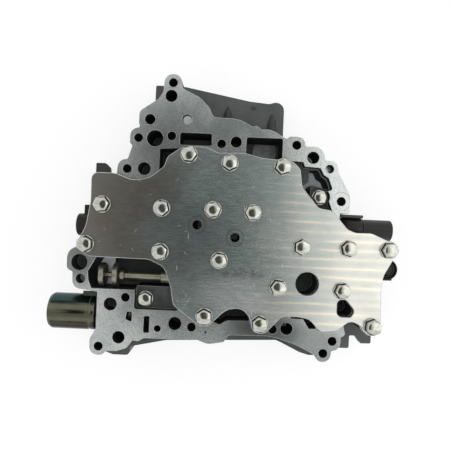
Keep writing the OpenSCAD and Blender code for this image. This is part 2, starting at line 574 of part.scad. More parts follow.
module accumulator_piston() color([0.6, 0.61, 0.62]) at_accumulator(0) difference() {
    translate([0, 0, piston_foot]) cylinder(d = piston_diameter, h = piston_height);
    translate([0, 0, piston_foot - 1]) cylinder(d = piston_diameter - 6, h = 4);
    translate([0, 0, ring_z]) difference() {
        cylinder(d = piston_diameter + 1, h = o_ring_wire);
        translate([0, 0, -1]) cylinder(d = piston_diameter - 2 * o_ring_seat, h = o_ring_wire + 2);
    }
}

module accumulator_ring() color([0.12, 0.12, 0.12]) at_accumulator(ring_z + slip)
    difference() {
        cylinder(d = piston_diameter, h = o_ring_wire - 2 * slip);
        translate([0, 0, -1])
            cylinder(d = piston_diameter - 2 * o_ring_seat + 2 * slip, h = o_ring_wire + 2);
    }

module accumulator_spring() color([0.6, 0.6, 0.6]) at_accumulator(accumulator_floor)
    coil(piston_foot + 3 - accumulator_floor, piston_diameter - 8, spring_wire, spring_turns - 1);

line_can_end = -97.2;

module line_solenoid_can() color([0.45, 0.45, 0.42]) centred()
    along_x(line_can_end - line_can_length, line_axis) rotate_extrude($fn = 64)
    polygon([[0, 0], [line_can / 2 - 3, 0], [line_can / 2 - 1, 0.8], [line_can / 2, 3],
        [line_can / 2, line_can_length * 0.81], [line_can / 2 - 0.4, line_can_length * 0.82],
        [line_can / 2 - 0.4, line_can_length * 0.86], [line_can / 2, line_can_length * 0.87],
        [line_can / 2, line_can_length - 1],
        [line_can / 2 - 1, line_can_length], [0, line_can_length]]);

module line_solenoid_nozzle() color([0.72, 0.73, 0.74]) centred() difference() {
    along_x(line_can_end, line_axis) cylinder(d = line_nozzle, h = line_nozzle_length + 2);
    for (x = [10, 28]) along_x(line_can_end + x, line_axis) difference() {
        cylinder(d = line_nozzle + 1, h = o_ring_wire + 2 * slip);
        translate([0, 0, -1]) cylinder(d = line_nozzle - 2 * o_ring_seat, h = o_ring_wire + 3);
    }
    along_x(line_can_end + 16, line_axis) difference() {
        cylinder(d = line_nozzle + 1, h = 7);
        translate([0, 0, -1]) cylinder(d = line_nozzle - 3, h = 9);
    }
}

module line_solenoid_o_rings() color([0.1, 0.1, 0.1]) centred() for (x = [10, 28])
    along_x(line_can_end + x + slip, line_axis) difference() {
        cylinder(d = line_nozzle, h = o_ring_wire);
        translate([0, 0, -1]) cylinder(d = line_nozzle - 2 * o_ring_seat + 2 * slip, h = o_ring_wire + 2);
    }

module line_solenoid_bracket() color([0.3, 0.31, 0.3]) centred() difference() {
    union() {
        translate([line_can_end, line_axis.x - 7.6, line_axis.y - 9]) cube([bracket_thickness, 25.6, 20.4]);
        translate([line_can_end - 9.8, line_axis.x + 14.4, line_axis.y + 11])
            cube([9.8 + bracket_thickness, 3.6, bracket_thickness]);
    }
    along_x(line_can_end - 1, line_axis) cylinder(d = line_nozzle + 2 * slip, h = bracket_thickness + 2);
}

module left_solenoid() color([0.16, 0.16, 0.17]) centred() {
    along_x(left_can_x - left_can_length, left_axis) cylinder(d = left_can, h = left_can_length);
    along_x(left_can_x - 1, left_axis) cylinder(d = side_nozzle, h = side_nozzle_length + 1);
    translate([left_can_x - 7.4, left_axis.x + left_can / 2 - 2, left_axis.y - side_nozzle / 4])
        cube([4, side_nozzle * 0.75, side_nozzle / 2]);
}

module right_solenoid() color([0.16, 0.16, 0.17]) centred() {
    along_x(right_can_x, right_axis) cylinder(d = right_can, h = right_can_length);
    along_x(right_can_x - side_nozzle_length, right_axis)
        cylinder(d = side_nozzle, h = side_nozzle_length + 1);
    along_x(right_can_x + 3, right_axis) cylinder(d = right_can + 1.4, h = 16);
}

module right_solenoid_bracket() color([0.2, 0.2, 0.2]) centred() difference() {
    union() {
        translate([right_can_x - 3, right_axis.x - 6, right_axis.y - 8])
            cube([bracket_thickness, right_can / 2 + 8.4, 16]);
        translate([right_can_x - 2, right_axis.x + right_can / 2 + 0.75, right_axis.y - 4])
            cube([21, 2.4, 10]);
    }
    along_x(right_can_x - 4, right_axis) cylinder(d = side_nozzle + 2 * slip, h = bracket_thickness + 2);
}

module upright_solenoid() color([0.16, 0.16, 0.17]) centred()
    translate([upright_at.x, upright_at.y, 0]) difference() {
    union() {
        translate([0, 0, lower_height]) cylinder(d = upright_can, h = upper_height - 6);
        translate([0, 0, track_depth + 2]) cylinder(d = upright_stem, h = lower_height);
        translate([-3, -upright_can / 2 - 0.4, lower_height + upper_height - 16]) cube([7, 8, 10]);
    }
    translate([0, 0, lower_height + upper_height - 7.4]) difference() {
        cylinder(d = upright_can - 3, h = 3);
        translate([0, 0, -1]) cylinder(d = upright_can - 7, h = 5);
    }
}

lower_body();
separator_plate();
upper_body();
cover_plate();
cover_bolts();
body_bolts();
dowel_pins();
check_balls();
manual_valve();
regulator_valve();
regulator_spring();
regulator_plug();
shift_valve();
shift_spring();
shift_plug();
lockup_valve();
lockup_spring();
lockup_plug();
plug_keys();
accumulator_piston();
accumulator_ring();
accumulator_spring();
line_solenoid_can();
line_solenoid_nozzle();
line_solenoid_o_rings();
line_solenoid_bracket();
left_solenoid();
right_solenoid();
right_solenoid_bracket();
upright_solenoid();
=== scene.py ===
"""Dresses a transmission valve body: castings, cover plate, bolts, valves and solenoids."""

import json
import math

import bpy
from bpy.props import FloatProperty, FloatVectorProperty, PointerProperty
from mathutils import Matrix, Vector


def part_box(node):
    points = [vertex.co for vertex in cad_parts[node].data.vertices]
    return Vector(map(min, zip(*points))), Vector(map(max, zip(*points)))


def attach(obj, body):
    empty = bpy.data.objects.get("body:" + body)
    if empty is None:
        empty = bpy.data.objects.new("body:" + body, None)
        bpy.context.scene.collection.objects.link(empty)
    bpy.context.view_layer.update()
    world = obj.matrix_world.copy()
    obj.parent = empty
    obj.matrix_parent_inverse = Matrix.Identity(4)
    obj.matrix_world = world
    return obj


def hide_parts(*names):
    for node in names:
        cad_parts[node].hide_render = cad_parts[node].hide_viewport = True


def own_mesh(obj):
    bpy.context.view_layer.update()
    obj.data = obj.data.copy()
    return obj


bl_info = {
    "name": "Valve Body Dressing",
    "version": (1, 0, 0),
    "blender": (4, 5, 0),
    "location": "View3D > Sidebar > Valve Body",
    "description": "Finishes the castings, plate, bolts, valves and solenoids of a valve body",
    "category": "Object",
}

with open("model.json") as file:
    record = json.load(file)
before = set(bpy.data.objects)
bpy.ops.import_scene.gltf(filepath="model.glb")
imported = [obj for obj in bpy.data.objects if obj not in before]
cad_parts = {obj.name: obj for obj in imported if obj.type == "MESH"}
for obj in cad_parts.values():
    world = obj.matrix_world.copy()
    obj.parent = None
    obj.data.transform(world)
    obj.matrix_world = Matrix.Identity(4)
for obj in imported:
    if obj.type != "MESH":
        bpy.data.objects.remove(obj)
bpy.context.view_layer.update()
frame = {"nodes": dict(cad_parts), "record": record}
PLATE_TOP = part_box("cover_plate")[1].z
FACE_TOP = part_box("upper_body")[1].z

# Middles of the two bolt holes in the plate, in metres
PLATE_HOLES = ((-0.0210, -0.0028), (0.0079, -0.0112))

# Milled floors of shallow ports: X, Y, radius and depth below the face, in metres
MILLED_SPOTS = (
    (-0.0320, 0.0767, 0.0035, 0.002), (0.0779, 0.0440, 0.0032, 0.010), (-0.1083, -0.0475, 0.0036, 0.012))

# Painted dark reflections on the casting's face: X, Y, stretch across and along, inner and outer reach
# in metres, and strength
DARK_REFLECTIONS = (
    (0.034, -0.079, 0.8, 1.6, 0.010, 0.030, 0.85), (-0.052, 0.066, 1.0, 0.8, 0.012, 0.036, 0.45),
    (-0.111, -0.024, 1.0, 0.8, 0.012, 0.030, 0.75), (0.070, -0.093, 0.8, 1.2, 0.012, 0.036, 0.6))

# Marks on the plate, in metres: a darker patch, grime, a pale patch and a scribble in one corner
DARKER_PATCH = (-0.030, -0.010, PLATE_TOP)
GRIME = (0.0106, -0.0383, PLATE_TOP)
PALE_PATCH = (0.0100, -0.0560, PLATE_TOP)
SCRIBBLE = (-0.0293, -0.0590, PLATE_TOP)

# Scratches on the plate: turn in radians and scale
SCRATCHES = ((0.9, 110), (2.3, 140), (1.6, 90), (0.2, 170))

# Painted shade on the left wall of the selector window: its middle in metres, and the stretch that sets
# how far it goes
WINDOW_WALL_SHADE = (-0.1020, -0.0410, FACE_TOP - 0.0145)
WINDOW_STRETCH = (200, 74, 62)

# Raised parts of the lower casting painted dark, in metres: foot and front of the gussets (painted
# shade), middle of the tab
GUSSET_FOOT = 0.0193
GUSSET_FRONT = 0.066
TAB_MIDDLE = (-0.103, 0.042, 0.024)

# Ends of the sheet's middle along X, in metres: the middle gets painted shade
SHADED_MIDDLE_LEFT = -0.086
SHADED_MIDDLE_RIGHT = 0.050

# Details of a bolt, in metres: land and slope of its flange, lift of its crease, sunk end of its shank,
# room over the cutter, and the angle of its chamfer
FLANGE_LAND = 0.0008
FLANGE_SLOPE = 0.0012
CREASE_LIFT = 0.00005
SHANK_SINK = 0.0004
CUTTER_ROOM = 0.001
CHAMFER = math.radians(30)

# Edges of thin pieces, and gaps between points that are closed up, in metres
THIN_EDGE = 0.0001
CLOSE_GAP = 1e-6
CASTING_GAP = 0.0002

# Angles above which an edge counts as sharp, and below which faces are shaded smooth, in degrees
SHARP = 38
SMOOTH = 32
ROOT = "valve_body"


def tone(red, green, blue):
    """Turn an 8-bit screen colour into the linear colour that a shader takes."""
    def linear(level):
        share = level / 255
        return share / 12.92 if share <= 0.04045 else ((share + 0.055) / 1.055) ** 2.4
    return (linear(red), linear(green), linear(blue))


def shade(label, about, colour):
    """A colour property of the panel."""
    return FloatVectorProperty(
        name=label, description=about, subtype="COLOR", size=3, min=0, max=1, default=tone(*colour))


def length(label, about, metres):
    """A length property of the panel."""
    return FloatProperty(
        name=label, description=about, unit="LENGTH", subtype="DISTANCE", min=0, precision=5,
        default=metres)


def level(label, about, amount):
    """A brightness property of the panel."""
    return FloatProperty(name=label, description=about, min=0, default=amount)


class ValveBodySizes(bpy.types.PropertyGroup):
    """Sizes of the finishing work."""

    plate_edge: length("Plate edge", "Width of the broken edge of the cover plate", 0.0005)
    casting_edge: length("Casting edge", "Width of the broken edges of the castings", 0.0002)
    small_edge: length("Small edge", "Width of the broken edges of valves, pins and solenoids", 0.0003)
    bolt_edge: length("Bolt edge", "Width of the rounded edges of a bolt head", 0.00025)
    flange_width: length("Bolt flange", "Diameter of a bolt's flange", 0.014)
    flange_rim: length("Bolt flange rim", "Height of the flange at its rim", 0.0013)
    hex_width: length("Bolt hexagon", "Width of the hexagon across its flats", 0.010)
    head_height: length("Bolt head", "Height of the head with its flange", 0.0070)
    dome_radius: length("Bolt dome", "Radius of the domed top of a bolt head", 0.0220)
    dome_width: length("Bolt dome width", "Width of the dome inside the chamfer of a bolt head", 0.0088)
    # The crease is painted shade round the foot of a bolt's hexagon
    crease: length("Bolt crease", "Width of the soiled line round a bolt's hexagon", 0.0005)
    flange_hollow: length("Flange hollow", "Depth of the hollow in the top of a flange", 0.0005)
    shank_width: length("Bolt shank", "Diameter of a bolt's shank", 0.006)
    streak_pitch: length("Milling pitch", "Pitch of the milling streaks across the plate", 0.0068)
    bolt_turn: FloatProperty(
        name="Bolt turn", description="Angle from one bolt's hexagon to the next", subtype="ANGLE",
        default=math.radians(37))


class ValveBodyColours(bpy.types.PropertyGroup):
    """Colours of the finishes."""

    # The plate's left and right colours are painted shade at the left end and painted light at the right
    # end, with a warmer tone at the left
    plate_left_shaded: shade("Plate, stained end", "Warm grey of the stained end of the plate", (120, 116, 108))
    plate_middle: shade("Plate, middle", "Cool grey of the middle of the plate", (162, 175, 172))
    plate_right_lit: shade("Plate, bright end", "Pale grey of the freshly milled end", (214, 212, 203))
    plate_edge: shade("Plate edge", "Bright metal of the plate's broken edge", (196, 199, 197))
    machined: shade("Machined face", "Pale metal of the machined face", (200, 205, 202))
    machined_stain: shade("Face stain", "Stained metal of the machined face", (170, 177, 174))
    cast_light: shade("Casting, light", "Lighter grey of the cast skin", (76, 80, 78))
    cast_dark: shade("Casting, dark", "Darker grey of the cast skin", (48, 50, 49))
    cast_lower: shade("Lower casting", "Charcoal of the lower casting", (83, 87, 85))
    # The sheet is near-white as painted light, so that the shaded floors of the windows read pale
    sheet: shade("Separator sheet", "Pale blue grey of the coated sheet", (232, 240, 244))
    # Painted shade: near-black zinc for the crease round the foot of a bolt's hexagon
    zinc_crease_shade: shade("Zinc, soiled", "Soiled zinc round the foot of a bolt's hexagon", (24, 24, 21))
    zinc_flange: shade("Zinc, flange", "Pale zinc of a bolt's flange", (206, 208, 200))
    zinc: shade("Zinc", "Bright zinc of the bolts", (196, 198, 186))
    valve: shade("Valve steel", "Olive grey of the hardened valves", (150, 149, 133))
    spring: shade("Spring wire", "Grey of the spring wire", (150, 152, 150))
    can: shade("Solenoid can", "Olive steel of the large solenoid", (102, 102, 86))
    # The can's cool and dark colours are painted reflections along its side, flank and crown
    can_cool_reflection: shade("Solenoid can, cool", "Blue steel of the large solenoid's side", (58, 76, 76))
    can_dark_reflection: shade("Solenoid can, dark", "Dark steel along the large solenoid's flanks", (34, 34, 28))
    plastic: shade("Black plastic", "Charcoal of the small solenoids", (27, 28, 24))
    bracket: shade("Bracket steel", "Dark grey of the brackets", (68, 70, 66))
    rubber: shade("Seal rubber", "Black of the seals", (28, 28, 28))


class ValveBodyStage(bpy.types.PropertyGroup):
    """Floor, lights and camera."""

    floor: shade("Floor", "Colour of the floor", (250, 250, 250))
    key_power: FloatProperty(
        name="Key light", description="Power of the large light", subtype="POWER", default=0.6)
    fill_power: FloatProperty(
        name="Fill light", description="Power of the light over the pockets", subtype="POWER",
        default=0.9)
    room: level("Room", "Brightness of the room between the soft boxes", 0.05)
    box_right: level("Right box", "Brightness of the soft box on the right", 1.08)
    ring: level("Ring", "Brightness of the soft ring round the camera", 1.05)
    floor_glow: level("Floor glow", "Share of plain white in the floor", 0.75)
    camera_height: length("Camera height", "Height of the camera over the floor", 0.4125)
    camera_turn: FloatProperty(
        name="Camera turn", description="Turn of the camera about its view", subtype="ANGLE",
        default=math.radians(2.5))
    camera_lens: FloatProperty(name="Lens", description="Focal length in millimetres", default=37.3)


class Nodes:
    """A node tree that is being made."""

    def __init__(self, tree, coordinate):
        self.tree = tree
        self.place = tree.nodes.new("ShaderNodeTexCoord").outputs[coordinate]

    def feed(self, socket, value):
        """Set a socket to a value, or link it to another node's output."""
        if isinstance(value, bpy.types.NodeSocket):
            self.tree.links.new(value, socket)
        elif socket.type == "RGBA" and len(value) == 3:
            socket.default_value = (*value, 1)
        else:
            socket.default_value = value

    def moved(self, shift=(0, 0, 0), stretch=(1, 1, 1), turn=(0, 0, 0), kind="POINT"):
        """The place on the piece, moved, turned and stretched."""
        node = self.tree.nodes.new("ShaderNodeMapping")
        node.vector_type = kind
        self.feed(node.inputs["Vector"], self.place)
        node.inputs["Location"].default_value = shift
        node.inputs["Rotation"].default_value = turn
        node.inputs["Scale"].default_value = stretch
        return node.outputs[0]

    def noise(self, scale, detail=3, rough=0.5, warp=0, where=None):
        """A cloud of grey levels."""
        node = self.tree.nodes.new("ShaderNodeTexNoise")
        self.feed(node.inputs["Vector"], where or self.place)
        node.inputs["Scale"].default_value = scale
        node.inputs["Detail"].default_value = detail
        node.inputs["Roughness"].default_value = rough
        node.inputs["Distortion"].default_value = warp
        return node.outputs[0]

    def bands(self, pitch, axis, warp=0, fine=2, where=None):
        """Parallel bands of grey levels."""
        node = self.tree.nodes.new("ShaderNodeTexWave")
        node.bands_direction = axis
        self.feed(node.inputs["Vector"], where or self.place)
        node.inputs["Scale"].default_value = math.pi / 10 / pitch
        node.inputs["Distortion"].default_value = warp
        node.inputs["Detail"].default_value = fine
        return node.outputs["Fac"]

    def dashes(self, scale, thick, where):
        """Short marks strewn at random."""
        node = self.tree.nodes.new("ShaderNodeTexVoronoi")
        node.voronoi_dimensions = "2D"
        self.feed(node.inputs["Vector"], where)
        node.inputs["Scale"].default_value = scale
        return self.ranged(node.outputs["Distance"], thick * 0.5, thick, 1.0, 0.0)

    def part(self, axis, vector=None):
        """One coordinate of a place."""
        node = self.tree.nodes.new("ShaderNodeSeparateXYZ")
        self.feed(node.inputs[0], vector or self.place)
        return node.outputs[axis]

    def reach(self, spot, stretch=(1, 1, 1)):
        """Distance from a spot on the piece, in metres."""
        node = self.tree.nodes.new("ShaderNodeVectorMath")
        node.operation = "LENGTH"
        shift = tuple(-s * k for s, k in zip(spot, stretch))
        self.feed(node.inputs[0], self.moved(shift, stretch))
        return node.outputs["Value"]

    def inward(self):
        """Distance from the middle of the part, times how squarely a wall faces it."""
        node = self.tree.nodes.new("ShaderNodeVectorMath")
        node.operation = "DOT_PRODUCT"
        self.feed(node.inputs[0], self.moved(stretch=(-1, -1, 0)))
        self.feed(node.inputs[1], self.tree.nodes.new("ShaderNodeNewGeometry").outputs["Normal"])
        return node.outputs["Value"]

    def ranged(self, value, low, high, to_low=0.0, to_high=1.0):
        """A value brought from one range to another and held there."""
        node = self.tree.nodes.new("ShaderNodeMapRange")
        node.interpolation_type = "SMOOTHSTEP"
        self.feed(node.inputs["Value"], value)
        node.inputs["From Min"].default_value = low
        node.inputs["From Max"].default_value = high
        node.inputs["To Min"].default_value = to_low
        node.inputs["To Max"].default_value = to_high
        return node.outputs[0]

    def sums(self, operation, first, second):
        """A sum, product or other step on two values."""
        node = self.tree.nodes.new("ShaderNodeMath")
        node.operation = operation
        self.feed(node.inputs[0], first)
        self.feed(node.inputs[1], second)
        return node.outputs[0]

    def mixed(self, factor, first, second, blend="MIX"):
        """Two colours mixed by a factor."""
        node = self.tree.nodes.new("ShaderNodeMix")
        node.data_type = "RGBA"
        node.blend_type = blend
        self.feed(node.inputs[0], factor)
        self.feed(node.inputs[6], first)
        self.feed(node.inputs[7], second)
        return node.outputs[2]


class Finish(Nodes):
    """A procedural material that is being made."""

    def __init__(self, name):
        self.material = bpy.data.materials.new(name)
        self.material.use_nodes = True
        super().__init__(self.material.node_tree, "Object")
        self.shader = next(n for n in self.tree.nodes if n.type == "BSDF_PRINCIPLED")

    def bump(self, height, strength, depth):
        """Small relief on the surface."""
        node = self.tree.nodes.new("ShaderNodeBump")
        node.inputs["Strength"].default_value = strength
        node.inputs["Distance"].default_value = depth
        self.feed(node.inputs["Height"], height)
        self.feed(self.shader.inputs["Normal"], node.outputs[0])

    def surface(self, colour, rough, metal, specular=0.5):
        """Finish the shader and return the material."""
        self.feed(self.shader.inputs["Base Color"], colour)
        self.feed(self.shader.inputs["Roughness"], rough)
        self.feed(self.shader.inputs["Metallic"], metal)
        self.shader.inputs["Specular IOR Level"].default_value = specular
        return self.material


def colours():
    """The colours set in the panel."""
    return bpy.context.scene.valve_body_colours


def sizes():
    """The sizes set in the panel."""
    return bpy.context.scene.valve_body_sizes


def scaled(colour, share):
    """A colour made darker or lighter."""
    return tuple(min(1, c * share) for c in colour)


def plate_streaks(make, base, streak, fade):
    """Milling streaks that the cutter left, coloured with painted highlights on the ridges and cool
    painted reflections in the hollows.
    """
    broken = make.ranged(make.noise(70, 2, 0.5, 0, make.moved(stretch=(0.3, 1, 1))), 0.36, 0.60)
    ridge = make.sums("MULTIPLY", make.ranged(streak, 0.74, 0.99), make.sums("MULTIPLY", fade, broken))
    cool = make.sums("MULTIPLY", make.ranged(streak, 0.60, 0.10), make.sums("MULTIPLY", fade, 0.45))
    base = make.mixed(cool, base, (0.80, 0.88, 0.91), "MULTIPLY")
    return make.mixed(make.sums("MULTIPLY", ridge, 0.6), base, (0.92, 0.80, 0.62))


def plate_rings(make, base):
    """Rings that bolt flanges wore round the two holes of the plate."""
    paint = colours()
    for x, y in PLATE_HOLES:
        ring = make.reach((x, y, PLATE_TOP))
        disc = make.ranged(ring, 0.0064, 0.0068, 0.16, 0.0)
        base = make.mixed(disc, base, scaled(paint.plate_middle, 0.35))
        inner = make.ranged(ring, 0.0060, 0.0064)
        outer = make.ranged(ring, 0.0066, 0.0071, 1.0, 0.0)
        rim = make.sums("MULTIPLY", make.sums("MULTIPLY", inner, outer), 0.4)
        base = make.mixed(rim, base, scaled(paint.plate_left_shaded, 0.35))
    return base


def plate_scratches(make):
    """Scratches strewn over the plate, and a scribble in one corner."""
    marks = 0.0
    for turn, scale in SCRATCHES:
        along = make.moved(turn=(0, 0, turn), stretch=(10, 1, 1), kind="TEXTURE")
        mark = make.dashes(scale, 0.028, along)
        mark = make.sums("MULTIPLY", mark, make.ranged(make.noise(scale * 0.6, 2), 0.48, 0.60))
        marks = make.sums("MAXIMUM", mark, marks)
    scribble = make.sums("ABSOLUTE", make.sums("SUBTRACT", make.noise(150, 1, 0.5, 0.8), 0.5), 0)
    scribble = make.ranged(scribble, 0.004, 0.014, 1.0, 0.0)
    corner = make.ranged(make.reach(SCRIBBLE), 0.004, 0.0075, 1.0, 0.0)
    scribble = make.sums("MULTIPLY", scribble, corner)
    return make.sums("MULTIPLY", make.sums("MAXIMUM", marks, scribble), 0.5)


def plate_finish():
    """Milled aluminium with streaks, smudges, scratches and worn rings."""
    paint = colours()
    make = Finish("plate_milled")
    cloud = make.noise(18, 4, 0.55)
    along = make.sums("ADD", make.part("X"), make.ranged(cloud, 0.3, 0.7, -0.015, 0.015))
    # Painted light: darker towards the left end (painted shade) and paler towards the right end (painted
    # light under the right soft box)
    base = make.mixed(make.ranged(along, -0.075, -0.02), paint.plate_left_shaded, paint.plate_middle)
    base = make.mixed(make.ranged(along, 0.0, 0.11), base, paint.plate_right_lit)
    darker_patch = make.ranged(make.reach(DARKER_PATCH, (1, 1.3, 1)), 0.012, 0.052, 0.42, 0.0)
    base = make.mixed(darker_patch, base, scaled(paint.plate_middle, 0.35))
    patch = make.noise(48, 4, 0.6)
    base = make.mixed(make.ranged(patch, 0.35, 0.7, 0.0, 0.18), base, scaled(paint.plate_middle, 0.6))

    across = make.moved(stretch=(0.2, 1, 1), turn=(0, 0, 0.03))
    streak = make.bands(sizes().streak_pitch, "Y", 3.2, 2, across)
    # fade brings the streaks in towards the lit right end, in relief and as painted highlights and
    # reflections in the colour
    fade = make.ranged(along, 0.010, 0.080)
    base = plate_streaks(make, base, streak, fade)
    brushed = make.noise(900, 3, 0.6, 0, make.moved(stretch=(0.15, 1, 1)))
    base = make.mixed(make.ranged(brushed, 0.3, 0.7, 0.08, 0.0), base, (0.5, 0.52, 0.53), "MULTIPLY")

    smudge = make.ranged(make.reach(GRIME, (1, 5, 1)), 0.006, 0.032, 1.0, 0.0)
    grime = make.sums("MULTIPLY", smudge, make.ranged(make.noise(240, 5, 0.7), 0.35, 0.62))
    base = make.mixed(make.sums("MULTIPLY", grime, 0.75), base, (0.10, 0.10, 0.10))
    pale = make.ranged(make.reach(PALE_PATCH, (0.7, 1, 1)), 0.006, 0.026, 0.6, 0.0)
    base = make.mixed(pale, base, (0.75, 0.76, 0.76))
    base = plate_rings(make, base)

    marks = plate_scratches(make)
    base = make.mixed(marks, base, paint.plate_edge)
    rough = make.ranged(brushed, 0.2, 0.8, 0.21, 0.27)
    relief = make.sums("ADD", make.sums("MULTIPLY", brushed, 0.5), make.sums("MULTIPLY", streak, fade))
    make.bump(relief, 0.05, 0.0001)
    return make.surface(base, rough, make.ranged(marks, 0.0, 0.5, 0.9, 0.5))


def edge_finish(name, colour):
    """Bright cut metal along a broken edge."""
    make = Finish(name)
    wear = make.noise(420, 3, 0.6)
    base = make.mixed(make.ranged(wear, 0.3, 0.7), scaled(colour, 0.75), colour)
    return make.surface(base, make.ranged(wear, 0.2, 0.8, 0.28, 0.45), 0.6)


def casting_finish(name, skin, shadow, face):
    """Cast skin that gives way to a machined face at the top."""
    paint = colours()
    make = Finish(name)
    pitted = make.noise(520, 5, 0.65)
    blotch = make.noise(55, 4, 0.6)
    rough_skin = make.mixed(make.ranged(blotch, 0.3, 0.7), shadow, skin)
    rough_skin = make.mixed(make.ranged(pitted, 0.35, 0.6, 0.35, 0.0), rough_skin, scaled(shadow, 0.5))
    grain = make.noise(650, 3, 0.75)
    stain = make.noise(30, 5, 0.62, 0.4)
    cut = make.mixed(make.ranged(stain, 0.40, 0.66), paint.machined, paint.machined_stain)
    cut = make.mixed(make.ranged(grain, 0.36, 0.56, 0.32, 0.0), cut, scaled(paint.machined_stain, 0.6))
    # Darker patches on the face: painted reflections of the dark surroundings
    for x, y, wide, tall, near, far, share in DARK_REFLECTIONS:
        spot = make.ranged(make.reach((x, y, face), (wide, tall, 1)), near, far, share, 0.0)
        cut = make.mixed(spot, cut, scaled(paint.machined_stain, 0.3))
    top = make.ranged(make.part("Z"), face - 0.0011, face - 0.0008)
    fresh = 0.0
    for x, y, radius, deep in MILLED_SPOTS:
        spot = make.ranged(make.reach((x, y, face - deep)), radius - 0.0002, radius - 0.0001, 1.0, 0.0)
        fresh = make.sums("MAXIMUM", spot, fresh)
    top = make.sums("MAXIMUM", top, fresh)
    cut = make.mixed(fresh, cut, paint.machined)
    # Painted shade: the left wall of the selector window is darkened nearly to black
    wall = make.ranged(make.reach(WINDOW_WALL_SHADE, WINDOW_STRETCH), 0.9, 1.05, 1.0, 0.0)
    rough_skin = make.mixed(wall, rough_skin, scaled(shadow, 0.15))
    # Painted shade: walls that face the middle of the part, inside holes and pockets, are darkened
    recess_shade = make.ranged(make.inward(), 0.004, 0.014, 0.0, 0.8)
    rough_skin = make.mixed(recess_shade, rough_skin, scaled(shadow, 0.1))
    base = make.mixed(top, rough_skin, cut)
    rough = make.ranged(top, 0.0, 1.0, 0.72, 0.20)
    make.bump(make.mixed(top, pitted, grain), 0.22, 0.00012)
    dulled = make.sums("MULTIPLY", fresh, 0.2)
    metal = make.sums("SUBTRACT", make.ranged(top, 0.0, 1.0, 0.3, 0.9), dulled)
    return make.surface(base, rough, metal)


def floor_finish(colour, glow):
    """White floor that keeps a faint shadow."""
    make = Finish("floor_white")
    cloud = make.noise(3, 2)
    tint = make.mixed(make.ranged(cloud, 0.3, 0.7), scaled(colour, 0.985), colour)
    made = make.surface(tint, 0.9, 0.0, 0.0)
    nodes, links = make.tree.nodes, make.tree.links
    path = nodes.new("ShaderNodeLightPath")
    seen = make.sums("MAXIMUM", path.outputs["Is Camera Ray"], path.outputs["Is Glossy Ray"])
    seen = make.sums("MAXIMUM", seen, path.outputs["Is Transmission Ray"])
    white = nodes.new("ShaderNodeEmission")
    blend = nodes.new("ShaderNodeMixShader")
    clear = make.ranged(make.reach((0, 0, 0), (1, 1.2, 1)), 0.05, 0.10, 0.0, glow)
    make.feed(blend.inputs[0], make.sums("MULTIPLY", seen, clear))
    links.new(make.shader.outputs[0], blend.inputs[1])
    links.new(white.outputs[0], blend.inputs[2])
    sink = next(n for n in nodes if n.type == "OUTPUT_MATERIAL")
    links.new(blend.outputs[0], sink.inputs["Surface"])
    return made


def lower_finish():
    """Charcoal cast skin of the lower casting."""
    paint = colours()
    make = Finish("lower_cast")
    pitted = make.noise(480, 5, 0.65)
    blotch = make.noise(48, 4, 0.6)
    base = make.mixed(make.ranged(blotch, 0.3, 0.7), scaled(paint.cast_lower, 0.72), paint.cast_lower)
    base = make.mixed(make.ranged(pitted, 0.3, 0.55, 0.35, 0.0), base, scaled(paint.cast_lower, 0.4))
    # The gussets get painted shade and the tab is painted darker
    gusset_shade_and_tab = make.sums(
        "MULTIPLY", make.ranged(make.part("Z"), GUSSET_FOOT, GUSSET_FOOT + 0.0008),
        make.ranged(make.part("Y"), GUSSET_FRONT, GUSSET_FRONT + 0.004))
    tab = make.ranged(make.reach(TAB_MIDDLE), 0.010, 0.016, 1.0, 0.0)
    gusset_shade_and_tab = make.sums("MAXIMUM", gusset_shade_and_tab, tab)
    base = make.mixed(make.sums("MULTIPLY", gusset_shade_and_tab, 0.75), base, scaled(paint.cast_lower, 0.2))
    make.bump(pitted, 0.3, 0.00015)
    return make.surface(base, make.ranged(pitted, 0.3, 0.7, 0.45, 0.62), 0.3)


def zinc_finish(name, colour):
    """Bright zinc with faint cloudy patches."""
    make = Finish(name)
    cloud = make.noise(260, 4, 0.6)
    base = make.mixed(make.ranged(cloud, 0.35, 0.65), scaled(colour, 0.75), colour)
    make.bump(make.noise(420, 2, 0.5), 0.22, 0.0002)
    return make.surface(base, make.ranged(cloud, 0.3, 0.7, 0.05, 0.10), 0.95)


def turned_finish(name, colour, pitch, metal=0.9, rough=0.3, axis="X"):
    """Turned steel with fine rings and a faint patina."""
    make = Finish(name)
    rings = make.bands(pitch, axis, 0.6, 2)
    cloud = make.noise(130, 4, 0.6)
    base = make.mixed(make.ranged(cloud, 0.3, 0.7), scaled(colour, 0.7), colour)
    base = make.mixed(make.ranged(rings, 0.0, 1.0, 0.0, 0.22), base, scaled(colour, 0.55))
    make.bump(rings, 0.08, 0.00005)
    return make.surface(base, make.ranged(cloud, 0.3, 0.7, rough - 0.06, rough + 0.08), metal)


